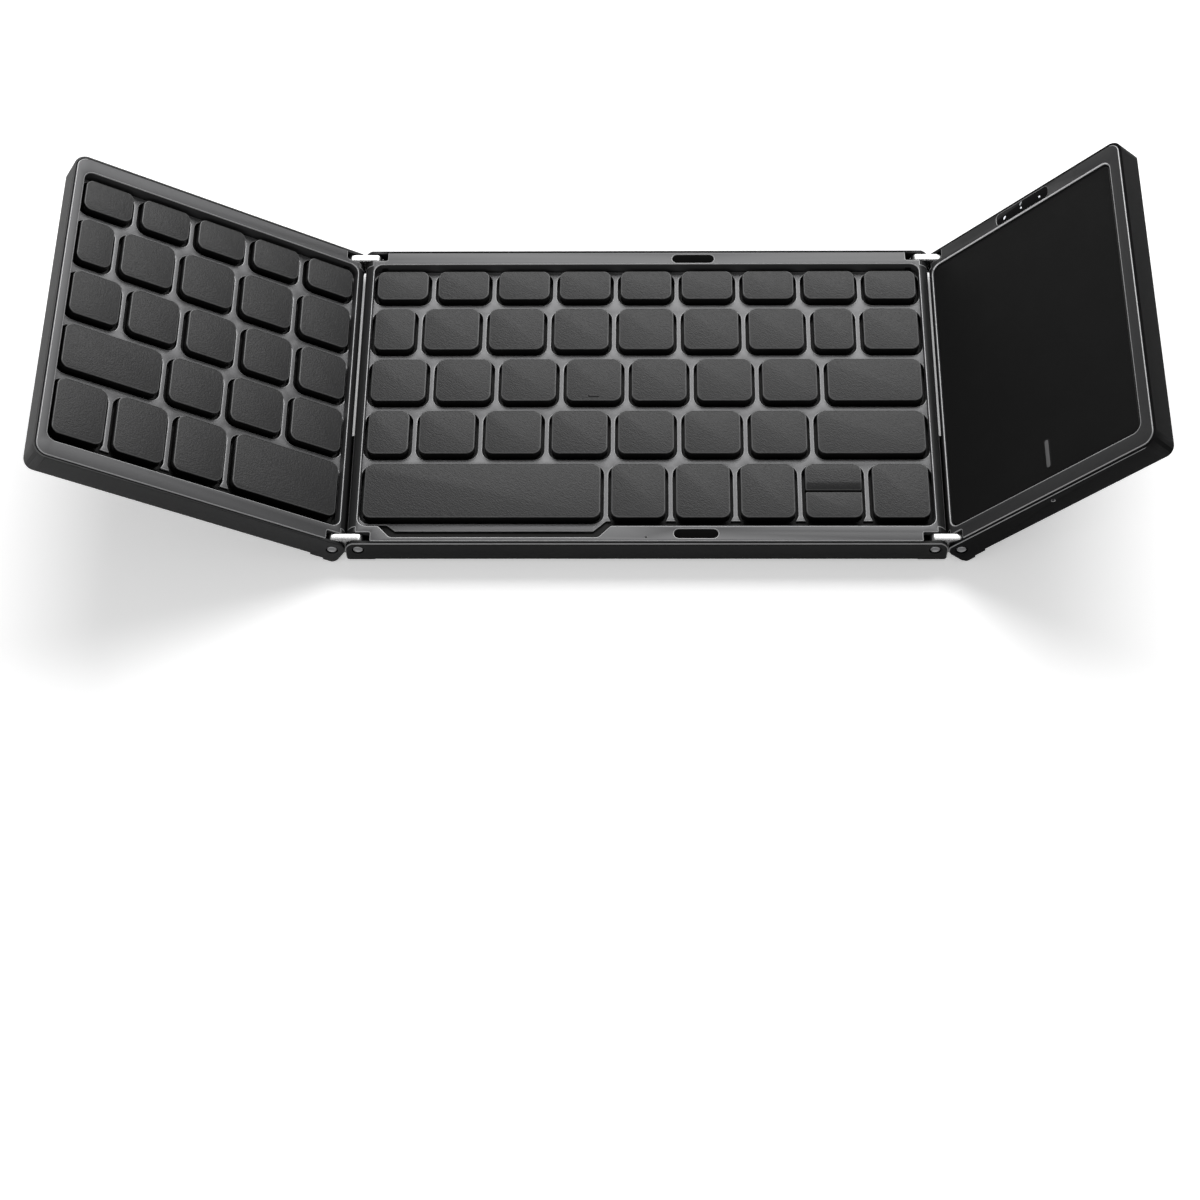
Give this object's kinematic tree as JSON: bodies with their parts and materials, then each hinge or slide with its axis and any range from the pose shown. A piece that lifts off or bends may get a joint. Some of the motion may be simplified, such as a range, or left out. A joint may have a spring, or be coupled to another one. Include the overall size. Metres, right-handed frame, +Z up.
{
  "type": "folding keyboard",
  "caption": "Pocket keyboard in hinged sections with low square keys and a touchpad; both wings fold flat over the middle on double-pivot links.",
  "frame": {"origin": "middle of the box round the keyboard as drawn, on the plane of its feet's undersides", "axes": "+Z up, +X along the keyboard from the key wing to the touchpad wing, +Y from the front edge to the rear edge"},
  "size_m": [0.2842, 0.097, 0.0549],
  "materials": {
    "case_plastic": "fine matt grain",
    "frame_satin": "satin metallic paint",
    "base_plate": "dark satin anodised",
    "inner_plate": "plain rolled",
    "dome_rubber": "moulded silicone",
    "foot_rubber": "matt",
    "key_plastic": "fine leather grain",
    "screw_steel": "turned",
    "link_metal": "bright satin",
    "pin_steel": "bright domed",
    "board": "solder mask",
    "battery_foil": "foil pouch",
    "port_metal": "drawn shell",
    "switch_black": "matt",
    "window_gloss": "clear glossy",
    "light_guide": "frosted",
    "touch_glass": "fine matt etched",
    "flex": "polyimide film"
  },
  "bodies": {
    "center": {"center_bottom_case": "case_plastic", "center_base_plate": "base_plate", "center_top_frame": "frame_satin", "center_key_plate": "inner_plate", "center_dome_membrane": "dome_rubber", "center_feet": "foot_rubber", "center_bumper_pads": "foot_rubber", "center_screws": "screw_steel"},
    "left_link": {"left_hinge_links": "link_metal", "left_hinge_pins": "pin_steel", "left_flex_cable": "flex"},
    "right_link": {"right_hinge_links": "link_metal", "right_hinge_pins": "pin_steel", "right_flex_cable": "flex"},
    "left_wing": {"left_bottom_case": "case_plastic", "left_base_plate": "base_plate", "left_top_frame": "frame_satin", "left_key_plate": "inner_plate", "left_dome_membrane": "dome_rubber", "left_feet": "foot_rubber", "left_screws": "screw_steel"},
    "right_wing": {"right_bottom_case": "case_plastic", "right_base_plate": "base_plate", "right_top_frame": "frame_satin", "main_board": "board", "battery": "battery_foil", "usb_port": "port_metal", "switch_housing": "switch_black", "click_switch": "port_metal", "indicator_window": "window_gloss", "indicator_lights": "light_guide", "right_feet": "foot_rubber", "right_screws": "screw_steel"},
    "touchpad_plate": {"touchpad": "touch_glass", "touchpad_board": "board"},
    "power_switch": {"power_switch_knob": "switch_black"},
    "short_row_keys_caps": {"short_row_keys": "key_plastic"},
    "second_row_keys_caps": {"second_row_keys": "key_plastic"},
    "fourth_row_keys_caps": {"fourth_row_keys": "key_plastic"},
    "home_key_1_cap": {"home_key_1": "key_plastic"},
    "home_key_2_cap": {"home_key_2": "key_plastic"},
    "home_key_3_cap": {"home_key_3": "key_plastic"},
    "home_key_4_cap": {"home_key_4": "key_plastic"},
    "home_key_5_cap": {"home_key_5": "key_plastic"},
    "home_key_6_cap": {"home_key_6": "key_plastic"},
    "home_key_7_cap": {"home_key_7": "key_plastic"},
    "home_key_8_cap": {"home_key_8": "key_plastic"},
    "space_bar_cap": {"space_bar": "key_plastic"},
    "front_key_1_cap": {"front_key_1": "key_plastic"},
    "front_key_2_cap": {"front_key_2": "key_plastic"},
    "front_key_3_cap": {"front_key_3": "key_plastic"},
    "up_key_cap": {"up_key": "key_plastic"},
    "down_key_cap": {"down_key": "key_plastic"},
    "right_key_cap": {"right_key": "key_plastic"},
    "left_short_row_keys_caps": {"left_short_row_keys": "key_plastic"},
    "left_second_row_keys_caps": {"left_second_row_keys": "key_plastic"},
    "left_home_row_keys_caps": {"left_home_row_keys": "key_plastic"},
    "left_fourth_row_keys_caps": {"left_fourth_row_keys": "key_plastic"},
    "left_front_row_keys_caps": {"left_front_row_keys": "key_plastic"}
  },
  "joints": [
    {"name": "left_link_fold", "type": "hinge", "parent": "center", "child": "left_link", "pos_m": [-0.06218, 0, 0.0057], "axis": [0, 1, 0], "range_deg": [0, 90], "deforming": ["left_flex_cable"]},
    {"name": "left_wing_fold", "type": "hinge", "parent": "left_link", "child": "left_wing", "pos_m": [-0.06898, 0, 0.0057], "axis": [0, 1, 0], "range_deg": [-30.5, 59.5]},
    {"name": "right_link_fold", "type": "hinge", "parent": "center", "child": "right_link", "pos_m": [0.08782, 0, 0.0057], "axis": [0, -1, 0], "range_deg": [0, 90], "deforming": ["right_flex_cable"]},
    {"name": "right_wing_fold", "type": "hinge", "parent": "right_link", "child": "right_wing", "pos_m": [0.09462, 0, 0.0057], "axis": [0, -1, 0], "range_deg": [-46.6, 43.4]},
    {"name": "touchpad_click", "type": "hinge", "parent": "right_wing", "child": "touchpad_plate", "pos_m": [0.094, 0.0427, 0.00628], "axis": [0.6871, 0, 0.7266], "range_deg": [0, 0.2], "stiffness_Nm_per_rad": 3, "springref_deg": -0.29},
    {"name": "power_switch_slide", "type": "slide", "parent": "right_wing", "child": "power_switch", "axis": [0.6871, 0, 0.7266], "range_m": [-0.0045, 0]},
    {"name": "short_row_keys_press", "type": "slide", "parent": "center", "child": "short_row_keys_caps", "axis": [0, 0, 1], "range_m": [-0.0013, 0], "stiffness_N_per_m": 2700, "springref_m": 0.0006},
    {"name": "second_row_keys_press", "type": "slide", "parent": "center", "child": "second_row_keys_caps", "axis": [0, 0, 1], "range_m": [-0.0013, 0], "stiffness_N_per_m": 2700, "springref_m": 0.0006},
    {"name": "fourth_row_keys_press", "type": "slide", "parent": "center", "child": "fourth_row_keys_caps", "axis": [0, 0, 1], "range_m": [-0.0013, 0], "stiffness_N_per_m": 2400, "springref_m": 0.0006},
    {"name": "home_key_1_press", "type": "slide", "parent": "center", "child": "home_key_1_cap", "axis": [0, 0, 1], "range_m": [-0.0013, 0], "stiffness_N_per_m": 300, "springref_m": 0.0006},
    {"name": "home_key_2_press", "type": "slide", "parent": "center", "child": "home_key_2_cap", "axis": [0, 0, 1], "range_m": [-0.0013, 0], "stiffness_N_per_m": 300, "springref_m": 0.0006},
    {"name": "home_key_3_press", "type": "slide", "parent": "center", "child": "home_key_3_cap", "axis": [0, 0, 1], "range_m": [-0.0013, 0], "stiffness_N_per_m": 300, "springref_m": 0.0006},
    {"name": "home_key_4_press", "type": "slide", "parent": "center", "child": "home_key_4_cap", "axis": [0, 0, 1], "range_m": [-0.0013, 0], "stiffness_N_per_m": 300, "springref_m": 0.0006},
    {"name": "home_key_5_press", "type": "slide", "parent": "center", "child": "home_key_5_cap", "axis": [0, 0, 1], "range_m": [-0.0013, 0], "stiffness_N_per_m": 300, "springref_m": 0.0006},
    {"name": "home_key_6_press", "type": "slide", "parent": "center", "child": "home_key_6_cap", "axis": [0, 0, 1], "range_m": [-0.0013, 0], "stiffness_N_per_m": 300, "springref_m": 0.0006},
    {"name": "home_key_7_press", "type": "slide", "parent": "center", "child": "home_key_7_cap", "axis": [0, 0, 1], "range_m": [-0.0013, 0], "stiffness_N_per_m": 300, "springref_m": 0.0006},
    {"name": "home_key_8_press", "type": "slide", "parent": "center", "child": "home_key_8_cap", "axis": [0, 0, 1], "range_m": [-0.0013, 0], "stiffness_N_per_m": 300, "springref_m": 0.0006},
    {"name": "space_bar_press", "type": "slide", "parent": "center", "child": "space_bar_cap", "axis": [0, 0, 1], "range_m": [-0.0013, 0], "stiffness_N_per_m": 300, "springref_m": 0.0006},
    {"name": "front_key_1_press", "type": "slide", "parent": "center", "child": "front_key_1_cap", "axis": [0, 0, 1], "range_m": [-0.0013, 0], "stiffness_N_per_m": 300, "springref_m": 0.0006},
    {"name": "front_key_2_press", "type": "slide", "parent": "center", "child": "front_key_2_cap", "axis": [0, 0, 1], "range_m": [-0.0013, 0], "stiffness_N_per_m": 300, "springref_m": 0.0006},
    {"name": "front_key_3_press", "type": "slide", "parent": "center", "child": "front_key_3_cap", "axis": [0, 0, 1], "range_m": [-0.0013, 0], "stiffness_N_per_m": 300, "springref_m": 0.0006},
    {"name": "up_key_press", "type": "slide", "parent": "center", "child": "up_key_cap", "axis": [0, 0, 1], "range_m": [-0.0013, 0], "stiffness_N_per_m": 300, "springref_m": 0.0006},
    {"name": "down_key_press", "type": "slide", "parent": "center", "child": "down_key_cap", "axis": [0, 0, 1], "range_m": [-0.0013, 0], "stiffness_N_per_m": 300, "springref_m": 0.0006},
    {"name": "right_key_press", "type": "slide", "parent": "center", "child": "right_key_cap", "axis": [0, 0, 1], "range_m": [-0.0013, 0], "stiffness_N_per_m": 300, "springref_m": 0.0006},
    {"name": "left_short_row_keys_press", "type": "slide", "parent": "left_wing", "child": "left_short_row_keys_caps", "axis": [0.5075, 0, 0.8616], "range_m": [-0.0013, 0], "stiffness_N_per_m": 1500, "springref_m": 0.0006},
    {"name": "left_second_row_keys_press", "type": "slide", "parent": "left_wing", "child": "left_second_row_keys_caps", "axis": [0.5075, 0, 0.8616], "range_m": [-0.0013, 0], "stiffness_N_per_m": 1500, "springref_m": 0.0006},
    {"name": "left_home_row_keys_press", "type": "slide", "parent": "left_wing", "child": "left_home_row_keys_caps", "axis": [0.5075, 0, 0.8616], "range_m": [-0.0013, 0], "stiffness_N_per_m": 1500, "springref_m": 0.0006},
    {"name": "left_fourth_row_keys_press", "type": "slide", "parent": "left_wing", "child": "left_fourth_row_keys_caps", "axis": [0.5075, 0, 0.8616], "range_m": [-0.0013, 0], "stiffness_N_per_m": 1200, "springref_m": 0.0006},
    {"name": "left_front_row_keys_press", "type": "slide", "parent": "left_wing", "child": "left_front_row_keys_caps", "axis": [0.5075, 0, 0.8616], "range_m": [-0.0013, 0], "stiffness_N_per_m": 1200, "springref_m": 0.0006}
  ]
}
